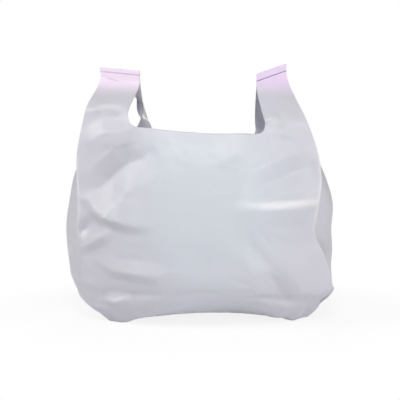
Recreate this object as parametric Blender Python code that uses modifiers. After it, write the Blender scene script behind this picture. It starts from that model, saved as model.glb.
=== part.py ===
"""A white plastic carrier bag of the vest kind, puffed open and standing on its bottom.

The bag is one piece of film: a tube with two side gussets, sealed across the bottom,
cut out at the top for the mouth, and sealed again at the top of each handle.
The film is built here the way it is made. Its columns run round the tube (front panel,
right gusset, back panel, left gusset) and its rows run up from the bottom seal.
Units are metres. X is to the right, the front panel faces -Y, and +Z is up.
"""

import math

import bmesh
import bpy
from mathutils import Vector

# Sizes of the flat film
FACE_WIDTH = 0.270
GUSSET_WIDTH = 0.130
STRAP_WIDTH = 0.053
MOUTH_FILLET = 0.011
BOTTOM_SKIRT = 0.005
HANDLE_SKIRT = 0.009
FILM = 0.0006
LAYER_GAP = 0.0006

# Sizes of the puffed shape
MOUTH_HEIGHT = 0.203
LEFT_RISE = 0.0125
BACK_DROP = 0.005
HANDLE_HEIGHT = 0.268
BODY_DEPTH = 0.112
FRONT_BULGE = 0.036
BACK_BULGE = 0.034
SIDE_BULGE = 0.024
SEAM_RISE = 0.0130
FRONT_ARCH = 0.0275
BACK_ARCH = 0.003
FOOT_SINK = 0.0040
HANDLE_REACH = 0.046
GUSSET_LIFT = 0.14
HEEL_CURVE = 6
HEEL_FADE = 4
CUT_FADE = 6
FACE_CURVE = 2.3
GUSSET_CREASE = 0.2
FOLD_DEPTH = 0.010

# How finely the film is divided
STRAP_COLUMNS = 5
MOUTH_COLUMNS = 12
FILLET_COLUMNS = 1
CUT_COLUMNS = 1
FLOOR_ROWS = 7
WALL_ROWS = 25
HANDLE_ROWS = 9

HALF_FACE = FACE_WIDTH / 2
HALF_GUSSET = GUSSET_WIDTH / 2
MOUTH_HALF = HALF_FACE - STRAP_WIDTH
ROOT_HEIGHT = MOUTH_HEIGHT + MOUTH_FILLET

# The bag stands on a foot near each side, and the front's heel is arched between them.
# Past the feet the bottom seam's ends turn up: the left one stays low, and the right one
# sticks out as an ear. The right foot's heel is rounded up by HEEL_RISE, a share of
# ROOT_HEIGHT. Places and spreads across are shares of HALF_FACE.
FEET = {-1: -0.70, 1: 0.73}
ARCH_PEAK = 0.18
HEEL_RISE = 0.030
HEEL_SPREAD = 0.13
# Each end is its place across, its place in depth as a share of half the BODY_DEPTH, and
# its height as a share of ROOT_HEIGHT.
SEAM_ENDS = {-1: (-0.875, -0.46, 0.062), 1: (1.125, 0.0, 0.094)}

# Two layers whose insides face each other are held apart by both films and a gap.
INNER_LAYER = LAYER_GAP / 2
OUTER_LAYER = INNER_LAYER + 2 * FILM + LAYER_GAP
FOLD_LAYER = (INNER_LAYER + OUTER_LAYER) / 2

# The wall's shape from the heel up to the roots of the handles. Heights are shares of
# ROOT_HEIGHT, the folds' places are shares of HALF_FACE, depths are shares of half the
# BODY_DEPTH, and bulges are shares of the three bulge sizes. A side bulge below zero is
# a gusset that folds inwards.
WALL_LEVELS = (
    # height, left fold, right fold, depth, face bulge, left bulge, right bulge
    (0.030, 0.800, 0.852, 0.80, 0.80, 0.35, 0.25),
    (0.085, 0.890, 0.930, 0.88, 0.87, 0.80, 0.28),
    (0.125, 0.910, 0.948, 0.92, 0.91, 0.87, 0.28),
    (0.160, 0.925, 1.030, 0.94, 0.94, 0.93, 0.20),
    (0.205, 0.940, 1.033, 0.97, 0.97, 1.00, 0.25),
    (0.270, 0.950, 1.005, 0.99, 1.00, 1.02, 0.42),
    (0.350, 0.960, 0.962, 1.00, 1.00, 1.04, 0.70),
    (0.460, 0.970, 0.885, 1.00, 1.00, 1.00, 1.03),
    (0.580, 0.965, 0.940, 0.98, 0.97, 0.86, 0.88),
    (0.700, 0.976, 0.962, 0.95, 0.90, 0.53, 0.44),
    (0.810, 0.978, 0.935, 0.92, 0.80, 0.05, -0.04),
    (0.900, 0.957, 0.886, 0.88, 0.68, -0.36, -0.34),
    (1.000, 0.925, 0.834, 0.84, 0.56, -0.80, -0.76),
)

# Ends of the two handle seals as (x, y, z): x and y are shares of HALF_FACE and of half
# the BODY_DEPTH, and z is the height over HANDLE_HEIGHT as a share of ROOT_HEIGHT.
LEFT_SEAL = ((-0.856, 0.10, 0.010), (-0.514, -0.10, -0.016))
RIGHT_SEAL = ((0.710, 0.14, 0.030), (0.448, -0.20, -0.033))

# The left strap of the back is drawn in to a narrow strip, seen edge on from the front.
# These are four lines of the film at its root: the strap's inner edge, its fold, the cut
# edge of the gusset and the gusset's middle. Each has its place across as a share of
# HALF_FACE, its place in depth as a share of half the BODY_DEPTH, and its rise as a share
# of ROOT_HEIGHT.
GATHERED = (
    (-0.474, 1.04, 0.000),
    (-0.526, 0.29, 0.000),
    (-0.504, 0.82, -0.019),
    (-0.696, 0.29, -0.056),
)
GATHER_START = 0.75

# Creases of the two faces. Each is a bent line with places as shares of HALF_FACE across
# and of ROOT_HEIGHT up, its widths above and below the line as shares of HALF_FACE, and
# its height as a share of FOLD_DEPTH. A crease below zero is a hollow.
FRONT_CREASES = (
    # The folded star at the left: a ridge over it, a long hollow, and its lower edge.
    (((-0.92, 0.90), (-0.76, 0.95), (-0.58, 0.975), (-0.42, 0.98)), 0.12, 0.13, 0.55),
    (((-0.33, 0.885), (-0.56, 0.810), (-0.79, 0.706), (-1.00, 0.650)), 0.15, 0.18, -0.95),
    (((-1.00, 0.640), (-0.88, 0.610), (-0.73, 0.555), (-0.55, 0.520), (-0.30, 0.500)), 0.16, 0.09, 0.60),
    (((-1.00, 0.375), (-0.84, 0.430), (-0.68, 0.492)), 0.12, 0.075, 0.45),
    (((-1.00, 0.455), (-0.78, 0.520)), 0.09, 0.09, -0.40),
    (((-0.84, 0.345), (-0.66, 0.290), (-0.25, 0.262)), 0.10, 0.075, 0.40),
    (((-0.78, 0.135), (-0.68, 0.128), (-0.55, 0.155)), 0.075, 0.06, 0.40),
    # The long straight crease at the right, and the hollow over it.
    (((0.36, 0.612), (0.60, 0.606), (0.95, 0.612)), 0.10, 0.06, 0.45),
    (((0.93, 0.800), (0.70, 0.735), (0.40, 0.660)), 0.16, 0.12, -0.60),
    (((0.42, 0.560), (0.66, 0.535), (0.92, 0.500)), 0.075, 0.09, 0.30),
    (((0.50, 0.300), (0.58, 0.215), (0.72, 0.110)), 0.13, 0.16, -0.70),
    (((0.12, 0.800), (0.34, 0.885), (0.44, 0.950)), 0.12, 0.12, 0.30),
    # Small creases where the handles are pulled.
    (((0.48, 1.010), (0.62, 1.040)), 0.06, 0.06, 0.35),
    (((0.50, 0.955), (0.64, 0.965), (0.74, 0.915)), 0.067, 0.067, 0.35),
    (((-0.83, 1.080), (-0.74, 1.110), (-0.56, 1.110)), 0.075, 0.06, 0.45),
    (((-0.72, 1.045), (-0.56, 1.030)), 0.06, 0.09, -0.45),
    # Broad buckles where the film has settled: over the heel, at the sides and at the mouth.
    (((-0.90, 0.080), (-0.50, 0.130), (0.05, 0.190), (0.50, 0.160), (0.92, 0.130)), 0.22, 0.12, 0.42),
    (((-0.97, 0.060), (-0.95, 0.240), (-0.97, 0.400)), 0.13, 0.13, -0.34),
    (((-0.70, 0.180), (-0.68, 0.560)), 0.14, 0.14, 0.24),
    (((0.38, 0.480), (0.70, 0.450), (1.00, 0.400)), 0.25, 0.22, -0.30),
    (((-0.27, 0.990), (-0.24, 0.880), (-0.20, 0.720)), 0.09, 0.09, 0.28),
    (((-0.05, 1.020), (-0.02, 0.840)), 0.15, 0.15, -0.40),
    (((0.17, 0.990), (0.20, 0.860), (0.30, 0.740)), 0.09, 0.09, 0.24),
    (((-0.90, 1.075), (-0.70, 1.085), (-0.50, 1.075)), 0.10, 0.10, 0.36),
    (((0.45, 1.050), (0.62, 1.040), (0.85, 1.020)), 0.16, 0.12, 0.32),
)
BACK_CREASES = (
    (((-0.90, 0.28), (-0.30, 0.50)), 0.19, 0.15, 0.8),
    (((0.98, 0.72), (0.35, 0.88)), 0.15, 0.18, 0.8),
    (((0.98, 0.42), (0.20, 0.32)), 0.18, 0.15, -0.8),
    (((-0.45, 0.84), (-0.98, 0.60)), 0.16, 0.13, 0.7),
    (((0.25, 0.58), (0.90, 0.63)), 0.09, 0.13, 0.6),
    (((-0.62, 0.08), (-0.38, 0.32)), 0.18, 0.15, -0.7),
    # Broad buckles where the film has settled: over the heel, at the sides and at the mouth.
    (((-0.75, 0.090), (-0.45, 0.160), (0.00, 0.120), (0.40, 0.190), (0.95, 0.160)), 0.20, 0.15, 0.38),
    (((-0.97, 0.060), (-0.93, 0.220), (-0.96, 0.420)), 0.14, 0.14, -0.40),
    (((-0.05, 0.360), (-0.02, 0.120)), 0.12, 0.12, -0.45),
    (((0.30, 0.480), (0.60, 0.450), (0.98, 0.440)), 0.25, 0.22, -0.30),
    (((-0.34, 0.950), (-0.20, 0.790), (0.00, 0.750), (0.18, 0.800), (0.26, 0.930)), 0.10, 0.10, 0.34),
    (((-0.02, 1.000), (0.00, 0.860)), 0.12, 0.12, -0.40),
    (((-0.42, 0.920), (-0.36, 0.720)), 0.10, 0.10, -0.24),
    (((0.36, 0.900), (0.36, 0.740)), 0.10, 0.10, -0.24),
    (((0.45, 1.060), (0.62, 1.040), (0.85, 1.000)), 0.18, 0.14, 0.36),
)


def mix(a, b, share):
    return a + (b - a) * share


def ease(share):
    """A smooth step from 0 to 1."""
    share = min(1.0, max(0.0, share))
    return share * share * (3 - 2 * share)


def smooth_level(share):
    """The row of WALL_LEVELS at this share of the way up, on a smooth curve through them."""
    place = min(1.0, max(0.0, share)) * (len(WALL_LEVELS) - 1)
    low = min(int(place), len(WALL_LEVELS) - 2)
    part = place - low
    before = WALL_LEVELS[max(0, low - 1)]
    start, end = WALL_LEVELS[low], WALL_LEVELS[low + 1]
    after = WALL_LEVELS[min(len(WALL_LEVELS) - 1, low + 2)]
    return [
        b + 0.5 * part * (c - a + part * (2 * a - 5 * b + 4 * c - d + part * (3 * (b - c) + d - a)))
        for a, b, c, d in zip(before, start, end, after)
    ]


def crease_lift(x, z, places, above, below):
    """How far one crease lifts the film at this spot, as a share of the crease's own height."""
    here = Vector((x, z))
    points = [Vector((across * HALF_FACE, height * ROOT_HEIGHT)) for across, height in places]
    if points[0].x > points[-1].x:
        points.reverse()
    lengths = [(end - start).length for start, end in zip(points, points[1:])]
    nearest = None
    passed = 0.0
    for start, end, length in zip(points, points[1:], lengths):
        run = end - start
        part = min(1.0, max(0.0, (here - start).dot(run) / length**2))
        gap = (here - start - part * run).length
        if nearest is None or gap < nearest:
            nearest = gap
            width = above if run.cross(here - start) > 0 else below
            along = (passed + part * length) / sum(lengths)
        passed += length
    return math.sin(math.pi * along) * max(0.0, 1 - nearest / (width * HALF_FACE))


def add_creases(column, point):
    """Moves a point of a face out or in where a crease crosses it."""
    if not column.is_face():
        return point
    creases = FRONT_CREASES if column.panel == "front" else BACK_CREASES
    lift = sum(
        height * crease_lift(point.x, point.z, places, above, below)
        for places, above, below, height in creases
    )
    return point + Vector((0, column.depth_side() * FOLD_DEPTH * lift, 0))


def mouth_drop(from_strap):
    """How far the cut lies below the handle's root, at a distance in from the strap's inner edge."""
    inside = min(from_strap, MOUTH_FILLET)
    return math.sqrt(MOUTH_FILLET**2 - (MOUTH_FILLET - inside) ** 2)


class Column:
    """One line of film that runs up the bag.

    panel is front, back, left or right. across is -1 to 1 over a face, or 0 to 1 over a
    gusset from its front fold to its back fold.
    """

    def __init__(self, panel, across, cut):
        self.panel = panel
        self.across = across
        self.cut = cut

    def is_face(self):
        return self.panel in ("front", "back")

    def side(self):
        """-1 on the left of the bag, and 1 on the right."""
        if self.is_face():
            return -1 if self.across < 0 else 1
        return -1 if self.panel == "left" else 1

    def depth_side(self):
        """-1 in front of the side fold, and 1 behind it."""
        if self.is_face():
            return -1 if self.panel == "front" else 1
        return -1 if self.across < 0.5 else 1

    def from_fold(self):
        """Distance in the film from the nearest fold between a face and a gusset."""
        if self.is_face():
            return HALF_FACE * (1 - abs(self.across))
        return GUSSET_WIDTH * min(self.across, 1 - self.across)

    def layer(self):
        """How far this layer lies from the middle of a flat seal."""
        if self.from_fold() < 1e-9:
            return FOLD_LAYER
        return OUTER_LAYER if self.is_face() else INNER_LAYER


def fillet_steps():
    """Distances in from a strap's inner edge, close together where the cut is round."""
    steps = FILLET_COLUMNS + 1
    return [MOUTH_FILLET * (1 - math.cos(math.pi / 2 * i / steps)) for i in range(1, steps + 1)]


def face_columns(panel):
    half_columns = MOUTH_COLUMNS // 2
    straight = MOUTH_HALF - MOUTH_FILLET
    from_left = [STRAP_WIDTH * i / STRAP_COLUMNS for i in range(STRAP_COLUMNS + 1)]
    from_left += [STRAP_WIDTH + step for step in fillet_steps()]
    from_left += [HALF_FACE - straight * (1 - i / half_columns) for i in range(1, half_columns + 1)]
    shares = [-1 + distance / HALF_FACE for distance in from_left]
    shares += [-share for share in reversed(shares[:-1])]
    return [
        Column(panel, share, mouth_drop(max(0.0, MOUTH_HALF - abs(share) * HALF_FACE)))
        for share in shares
    ]


def gusset_columns(panel):
    """The columns between the two folds, from front to back. The cut takes the middle of a gusset."""
    kept = STRAP_WIDTH / GUSSET_WIDTH
    shares = [kept * (i + 1) / STRAP_COLUMNS for i in range(STRAP_COLUMNS)]
    shares += [kept + (0.5 - kept) * (i + 1) / CUT_COLUMNS for i in range(CUT_COLUMNS)]
    shares += [1 - share for share in reversed(shares[:-1])]
    return [
        Column(panel, share, mouth_drop(max(0.0, GUSSET_WIDTH * min(share, 1 - share) - STRAP_WIDTH)))
        for share in shares
    ]


def round_profile(share):
    """Bulge across a face, 0 at its folds and 1 in its middle."""
    return 1 - abs(share) ** FACE_CURVE


def side_profile(share, bulge):
    """Bulge across a gusset, round where it is blown out and sharp where it folds inwards."""
    off_middle = abs(2 * share - 1)
    sharp = 1 - off_middle
    if bulge < 0:
        return sharp
    return mix(1 - off_middle**2, sharp, GUSSET_CREASE)


def section_point(column, fold_left, fold_right, half_depth, bulge, left_bulge, right_bulge):
    """The place in plan of a column in a section with these folds and bulges."""
    if column.is_face():
        facing = -1 if column.panel == "front" else 1
        size = FRONT_BULGE if column.panel == "front" else BACK_BULGE
        x = mix(fold_left, fold_right, (column.across + 1) / 2)
        return x, facing * (half_depth + size * bulge * round_profile(column.across))
    fold = fold_left if column.panel == "left" else fold_right
    blown = left_bulge if column.panel == "left" else right_bulge
    out = blown * side_profile(column.across, blown)
    return fold + column.side() * out, mix(-half_depth, half_depth, column.across)


def floor_height(x, outward, depth_side):
    """Height of the underside, which rises at the seam, in the middle and past the feet."""
    across = x / HALF_FACE
    side = -1 if across < ARCH_PEAK else 1
    seam = SEAM_RISE * (1 - outward) ** 2
    arch = FRONT_ARCH if depth_side < 0 else BACK_ARCH
    arch *= outward**2 * max(0.0, 1 - ((across - ARCH_PEAK) / (FEET[side] - ARCH_PEAK)) ** 2)
    end, _, end_height = SEAM_ENDS[side]
    corner = end_height * ROOT_HEIGHT * max(0.0, (across - FEET[side]) / (end - FEET[side]))
    heel = 0.0
    if depth_side < 0:
        heel = HEEL_RISE * ROOT_HEIGHT * outward**HEEL_CURVE
        heel *= max(0.0, 1 - ((across - FEET[1]) / HEEL_SPREAD) ** 2)
    return max(0.0, seam + arch + corner + heel - FOOT_SINK)


def seam_shift(x):
    """How far the bottom seam bends to the front or back on its way to an end."""
    end, end_depth, _ = SEAM_ENDS[-1 if x < 0 else 1]
    return end_depth * BODY_DEPTH / 2 * (x / HALF_FACE / end) ** 2


def wall_values(share):
    height, left, right, depth, bulge, left_bulge, right_bulge = smooth_level(share)
    return (
        height * ROOT_HEIGHT,
        -left * HALF_FACE,
        right * HALF_FACE,
        depth * BODY_DEPTH / 2,
        bulge,
        left_bulge * SIDE_BULGE,
        right_bulge * SIDE_BULGE,
    )


def floor_point(column, outward):
    """A point of the underside. outward runs from 0 at the seam to 1 at the heel."""
    _, left, right, depth, bulge, left_bulge, right_bulge = wall_values(0)
    opened = ease(outward)
    x, y = section_point(
        column,
        mix(SEAM_ENDS[-1][0] * HALF_FACE, left, opened),
        mix(SEAM_ENDS[1][0] * HALF_FACE, right, opened),
        mix(0.0, depth, outward),
        bulge * outward,
        mix(-HALF_GUSSET, left_bulge, opened),
        mix(-HALF_GUSSET, right_bulge, opened),
    )
    y += (seam_shift(x) + column.depth_side() * column.layer()) * (1 - outward)
    z = floor_height(x, outward, column.depth_side())
    if not column.is_face():
        folded_up = math.sin(math.pi * min(1.0, outward)) * side_profile(column.across, -1)
        z += GUSSET_LIFT * HALF_GUSSET * folded_up
    return Vector((x, y, z))


def mouth_shift(column, share):
    """The film on the left is pulled up to its handle, and the back hangs a little lower."""
    across = column.across if column.is_face() else column.side()
    shift = LEFT_RISE * ease((ARCH_PEAK - across) * HALF_FACE / (2 * MOUTH_HALF))
    if column.depth_side() > 0:
        shift -= BACK_DROP
    return shift * share**2


def gather_shift(column):
    """How far the film is moved where the left strap of the back is drawn in, at its root."""
    if column.side() > 0 or column.panel == "front":
        return Vector((0, 0, 0))
    _, *section = wall_values(1)
    lines = (
        Column("back", -MOUTH_HALF / HALF_FACE, 0),
        Column("back", -1, 0),
        Column("left", 1 - STRAP_WIDTH / GUSSET_WIDTH, 0),
        Column("left", 0.5, 0),
    )
    shifts = []
    for (across, depth_share, rise), line in zip(GATHERED, lines):
        place = Vector((across * HALF_FACE, depth_share * BODY_DEPTH / 2, rise * ROOT_HEIGHT))
        shifts.append(place - Vector((*section_point(line, *section), 0)))
    if column.is_face() and column.from_fold() >= STRAP_WIDTH:
        return shifts[0] * ease(column.across / lines[0].across)
    if column.is_face():
        return shifts[1].lerp(shifts[0], column.from_fold() / STRAP_WIDTH)
    if column.depth_side() < 0:
        return shifts[3] * column.from_fold() / HALF_GUSSET
    if column.from_fold() <= STRAP_WIDTH:
        return shifts[1].lerp(shifts[2], column.from_fold() / STRAP_WIDTH)
    return shifts[2].lerp(shifts[3], (column.from_fold() - STRAP_WIDTH) / (HALF_GUSSET - STRAP_WIDTH))


def wall_point(column, share):
    """A point of the wall. share runs from 0 at the heel to 1 at the handle's root."""
    top_slope = (1 - WALL_LEVELS[-2][0]) * (len(WALL_LEVELS) - 1)
    share -= column.cut / (top_slope * ROOT_HEIGHT) * share**CUT_FADE
    height, *section = wall_values(share)
    heel_height, *heel_section = wall_values(0)
    x, y = section_point(column, *section)
    heel_x, _ = section_point(column, *heel_section)
    lift = floor_height(heel_x, 1, column.depth_side()) - heel_height
    z = height + lift * (1 - share) ** HEEL_FADE + mouth_shift(column, share)
    gathered = ease((share - GATHER_START) / (1 - GATHER_START))
    return Vector((x, y, z)) + gather_shift(column) * gathered


def seal_point(column):
    """The middle of a handle's seal where this column crosses it."""
    outer, inner = LEFT_SEAL if column.side() < 0 else RIGHT_SEAL
    share = column.from_fold() / STRAP_WIDTH
    across, depth_share, rise = (mix(a, b, share) for a, b in zip(outer, inner))
    height = HANDLE_HEIGHT + rise * ROOT_HEIGHT
    return Vector((across * HALF_FACE, depth_share * BODY_DEPTH / 2, height))


def handle_point(column, share):
    """A point of a handle. share runs from 0 at its root to 1 at its seal."""
    gathered = gather_shift(column)
    root = wall_point(column, 1) - gathered
    below = wall_point(column, 1 - 1 / WALL_ROWS) - gathered
    seal = seal_point(column) + Vector((0, column.depth_side() * column.layer(), 0))
    rise = (root - below).normalized() * HANDLE_REACH
    lean = Vector((0, 0, HANDLE_REACH))
    s, s2, s3 = share, share**2, share**3
    return (
        root * (2 * s3 - 3 * s2 + 1)
        + rise * (s3 - 2 * s2 + s)
        + seal * (3 * s2 - 2 * s3)
        + lean * (s3 - s2)
        + gathered * mix(1 - s3, (1 - s) ** 2, column.from_fold() / STRAP_WIDTH)
    )


def skirt_reach(column, height):
    """Past a seal the front layer and the back one meet. The inner pair of layers is shorter."""
    step = FILM + LAYER_GAP
    if column.from_fold() < 1e-9:
        return height - 1.5 * step
    return height if column.is_face() else height - 3 * step


def tube_rows(columns):
    """The rows of the tube, from the skirt under the bottom seal to the cut and the roots."""
    skirt = []
    for column in columns:
        x, _, z = floor_point(column, 0)
        skirt.append(Vector((x, seam_shift(x), z - skirt_reach(column, BOTTOM_SKIRT))))
    floor = [
        [floor_point(column, row / FLOOR_ROWS) for column in columns]
        for row in range(FLOOR_ROWS)
    ]
    wall = [
        [add_creases(column, wall_point(column, row / WALL_ROWS)) for column in columns]
        for row in range(WALL_ROWS + 1)
    ]
    return [skirt] + floor + wall


def strap_rows(columns):
    """One strap with its share of the gusset behind it, from the root up over the seal."""
    strap = [
        [add_creases(column, handle_point(column, row / HANDLE_ROWS)) for column in columns]
        for row in range(HANDLE_ROWS + 1)
    ]
    skirt = [
        seal_point(column) + Vector((0, 0, skirt_reach(column, HANDLE_SKIRT)))
        for column in columns
    ]
    return strap + [skirt]


def add_rows(mesh, rows, closed):
    """Joins the rows with quads, so that a tube's faces point outwards."""
    grid = [[mesh.verts.new(point) for point in row] for row in rows]
    count = len(rows[0])
    for low, high in zip(grid, grid[1:]):
        for i in range(count if closed else count - 1):
            j = (i + 1) % count
            mesh.faces.new((low[i], low[j], high[j], high[i]))


def tube_columns():
    """The columns round the bag, from the left fold of the front panel."""
    back = reversed(face_columns("back"))
    left = reversed(gusset_columns("left"))
    return [*face_columns("front"), *gusset_columns("right"), *back, *left]


def strap_columns(columns, side, depth_side):
    """The columns that go on up into one strap, in their order round the bag."""
    faces = []
    gussets = []
    for column in columns:
        if column.cut < 1e-9 and (column.side(), column.depth_side()) == (side, depth_side):
            (faces if column.is_face() else gussets).append(column)
    return faces + gussets if side * depth_side < 0 else gussets + faces


def film_material():
    material = bpy.data.materials.new("white_film")
    material.use_nodes = True
    shader = material.node_tree.nodes["Principled BSDF"]
    shader.inputs["Base Color"].default_value = (0.78, 0.79, 0.83, 1)
    shader.inputs["Roughness"].default_value = 0.42
    shader.inputs["Metallic"].default_value = 0.0
    return material


def build_bag():
    columns = tube_columns()
    mesh = bmesh.new()
    add_rows(mesh, tube_rows(columns), closed=True)
    for side in (-1, 1):
        for depth_side in (-1, 1):
            add_rows(mesh, strap_rows(strap_columns(columns, side, depth_side)), closed=False)
    bmesh.ops.remove_doubles(mesh, verts=mesh.verts, dist=1e-6)
    bmesh.ops.recalc_face_normals(mesh, faces=mesh.faces)
    low = Vector([min(vert.co[i] for vert in mesh.verts) for i in range(3)])
    high = Vector([max(vert.co[i] for vert in mesh.verts) for i in range(3)])
    centre = (low + high) / 2
    bmesh.ops.translate(mesh, verts=mesh.verts, vec=(-centre.x, -centre.y, -low.z))
    data = bpy.data.meshes.new("carrier_bag")
    mesh.to_mesh(data)
    mesh.free()
    data.shade_smooth()
    data.set_sharp_from_angle(angle=math.radians(50))
    data.materials.append(film_material())
    bag = bpy.data.objects.new("carrier_bag", data)
    wall = bag.modifiers.new("film", "SOLIDIFY")
    wall.thickness = FILM
    wall.offset = -1
    wall.use_even_offset = False
    return bag


def main():
    for item in list(bpy.data.objects):
        bpy.data.objects.remove(item, do_unlink=True)
    collection = bpy.data.collections.new("carrier_bag")
    bpy.context.scene.collection.children.link(collection)
    collection.objects.link(build_bag())


main()
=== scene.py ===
"""A white vest carrier bag of thin blown film, puffed open and standing on its base."""

import math

import bmesh
import bpy
import numpy as np
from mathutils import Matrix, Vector


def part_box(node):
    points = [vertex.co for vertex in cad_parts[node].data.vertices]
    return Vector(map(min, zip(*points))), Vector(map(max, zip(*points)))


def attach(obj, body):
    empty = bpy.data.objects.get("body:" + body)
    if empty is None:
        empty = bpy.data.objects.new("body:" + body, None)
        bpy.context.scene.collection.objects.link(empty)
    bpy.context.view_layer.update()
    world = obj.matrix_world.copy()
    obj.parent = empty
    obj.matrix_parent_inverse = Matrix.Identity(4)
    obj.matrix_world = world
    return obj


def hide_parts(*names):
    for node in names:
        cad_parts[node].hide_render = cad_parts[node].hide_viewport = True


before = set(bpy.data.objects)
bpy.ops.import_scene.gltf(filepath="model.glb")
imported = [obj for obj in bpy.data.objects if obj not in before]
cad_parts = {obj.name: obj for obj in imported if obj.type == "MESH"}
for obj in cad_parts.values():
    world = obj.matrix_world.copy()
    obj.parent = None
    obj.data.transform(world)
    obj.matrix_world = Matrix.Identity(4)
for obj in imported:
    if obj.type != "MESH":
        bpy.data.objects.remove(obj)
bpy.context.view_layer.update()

bl_info = {
    "name": "Film Carrier Bag",
    "version": (1, 0, 0),
    "blender": (4, 5, 0),
    "location": "3D View > Sidebar > Carrier Bag",
    "description": "Builds a puffed vest carrier bag of thin film, with its stage",
    "category": "Object",
}

BAG_NODE = "carrier_bag"

# The solid's box. The film is worked out round zero and then moved to the box's middle.
SOLID_LOW, SOLID_HIGH = (Vector(corner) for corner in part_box(BAG_NODE))

# Share of the wall's height: left fold, right fold, depth, face bulge, left bulge and
# right bulge. The folds are shares of half the face, the depth is a share of half the
# body's depth, and a side bulge below zero is a gusset that folds inwards.
WALL_LEVELS = (
    (0.030, 0.800, 0.852, 0.80, 0.80, 0.35, 0.25),
    (0.085, 0.890, 0.930, 0.88, 0.87, 0.80, 0.28),
    (0.125, 0.910, 0.948, 0.92, 0.91, 0.87, 0.28),
    (0.160, 0.925, 1.030, 0.94, 0.94, 0.93, 0.20),
    (0.205, 0.940, 1.033, 0.97, 0.97, 1.00, 0.25),
    (0.270, 0.950, 1.005, 0.99, 1.00, 1.02, 0.42),
    (0.350, 0.960, 0.962, 1.00, 1.00, 1.04, 0.76),
    (0.460, 0.970, 0.885, 1.00, 1.00, 1.00, 1.15),
    (0.580, 0.965, 0.902, 0.98, 0.97, 0.86, 1.12),
    (0.700, 0.976, 0.930, 0.95, 0.90, 0.53, 0.66),
    (0.810, 0.978, 0.920, 0.91, 0.80, 0.05, 0.22),
    (0.900, 0.957, 0.886, 0.87, 0.68, -0.40, -0.45),
    (1.000, 0.925, 0.834, 0.82, 0.56, -0.85, -0.85),
)

# Places across are shares of half the face, and heights are shares of a handle's root
# height. A place in depth is a share of half the body's depth.
FEET = {-1: -0.70, 1: 0.73}
ARCH_PEAK = 0.18
HEEL_RISE = 0.030
HEEL_SPREAD = 0.13
SEAM_ENDS = {-1: (-0.875, -0.46, 0.062), 1: (1.125, 0.0, 0.094)}

# Outer and inner end of each handle's seal: across, in depth, and the rise.
SEALS = {
    -1: ((-0.856, 0.10, 0.010), (-0.514, -0.10, -0.016)),
    1: ((0.710, 0.14, 0.030), (0.448, -0.20, -0.033)),
}

# The left strap of the back is drawn in to a narrow strip. These are its inner edge, its
# fold, the cut edge of the gusset and the gusset's middle, at the strap's root.
GATHERED = (
    (-0.474, 1.04, 0.000),
    (-0.526, 0.29, 0.000),
    (-0.504, 0.82, -0.019),
    (-0.696, 0.29, -0.056),
)
GATHER_START = 0.75

# A blown face is flatter in its middle the higher its power is, and a blown gusset is sharp
# in this share. Under the bag a gusset is lifted by this share of half its width.
FACE_POWER = 2.3
GUSSET_SHARP = 0.2
GUSSET_LIFT = 0.14

# Where the fold lines stand proud and where a painted highlight runs along them, as shares of the mouth's
# height:
# the start, what it fades in over, the end, and what it fades out over.
RIDGE_SPAN = (0.20, 0.20, 1.15, 0.30)
HIGHLIGHT_SPAN = (0.45, 0.15, 0.92, 0.08)
RIDGE_LEAN = 0.35
# How strong the painted highlight is along the fold lines.
FOLD_HIGHLIGHT = 0.6

# How well the settling film keeps its form in the wall and in the handles. The taut patch
# of the panel gets no extra film: its height, half its width and half its length.
WALL_HOLD, HANDLE_HOLD = 0.12, 0.6
TAUT_PATCH = (0.110, 0.085, 0.075)

# Creases of the two faces. Each is a bent line with places as shares of half the face
# across and of a handle's root height up, its widths above and below the line as shares of
# half the face, its height as a share of the fold depth, and the strength of the painted
# highlight laid along it. A height below zero is a hollow.
FRONT_CREASES = (
    # The folded star at the left: a ridge over it, a long hollow, and its lower edge.
    (((-0.92, 0.90), (-0.76, 0.95), (-0.58, 0.975), (-0.42, 0.98)), 0.12, 0.13, 0.55, 0.00),
    (
        ((-0.34, 0.890), (-0.47, 0.828), (-0.57, 0.809), (-0.69, 0.749), (-0.79, 0.690), (-0.98, 0.650)),
        0.15, 0.18, -1.05, 0.00,
    ),
    (
        ((-1.00, 0.650), (-0.87, 0.628), (-0.83, 0.588), (-0.76, 0.552), (-0.58, 0.524), (-0.36, 0.506)),
        0.20, 0.07, 0.72, 0.26,
    ),
    (((-0.62, 0.560), (-0.57, 0.690), (-0.55, 0.830)), 0.11, 0.13, 0.25, 0.00),
    (((-1.00, 0.375), (-0.84, 0.430), (-0.68, 0.492)), 0.12, 0.075, 0.45, 0.32),
    (((-1.00, 0.455), (-0.78, 0.520)), 0.09, 0.09, -0.40, 0.00),
    (((-0.84, 0.345), (-0.66, 0.290), (-0.25, 0.262)), 0.10, 0.075, 0.40, 0.22),
    (((-0.78, 0.135), (-0.68, 0.128), (-0.55, 0.155)), 0.075, 0.06, 0.40, 0.40),
    # The long straight crease at the right, and the hollow over it.
    (((0.24, 0.606), (0.52, 0.606), (0.76, 0.610), (1.06, 0.620)), 0.075, 0.30, 0.60, 0.85),
    (((1.00, 0.820), (0.68, 0.750), (0.53, 0.712), (0.34, 0.655)), 0.14, 0.20, -0.62, 0.00),
    (((0.42, 0.490), (0.66, 0.460), (0.92, 0.420)), 0.075, 0.09, 0.14, 0.00),
    (((0.50, 0.300), (0.58, 0.215), (0.72, 0.110)), 0.13, 0.16, -0.45, 0.00),
    (((0.12, 0.800), (0.34, 0.885), (0.44, 0.950)), 0.12, 0.12, 0.30, 0.08),
    # Small creases where the handles are pulled.
    (((0.48, 1.010), (0.62, 1.040)), 0.06, 0.06, 0.35, 0.16),
    (((0.50, 0.955), (0.64, 0.965), (0.74, 0.915)), 0.067, 0.067, 0.35, 0.08),
    (((-0.88, 1.028), (-0.84, 1.066), (-0.78, 1.090), (-0.56, 1.093)), 0.07, 0.05, 0.24, 0.24),
    (((-0.76, 1.030), (-0.56, 1.010)), 0.07, 0.09, -0.26, 0.00),
)
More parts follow.
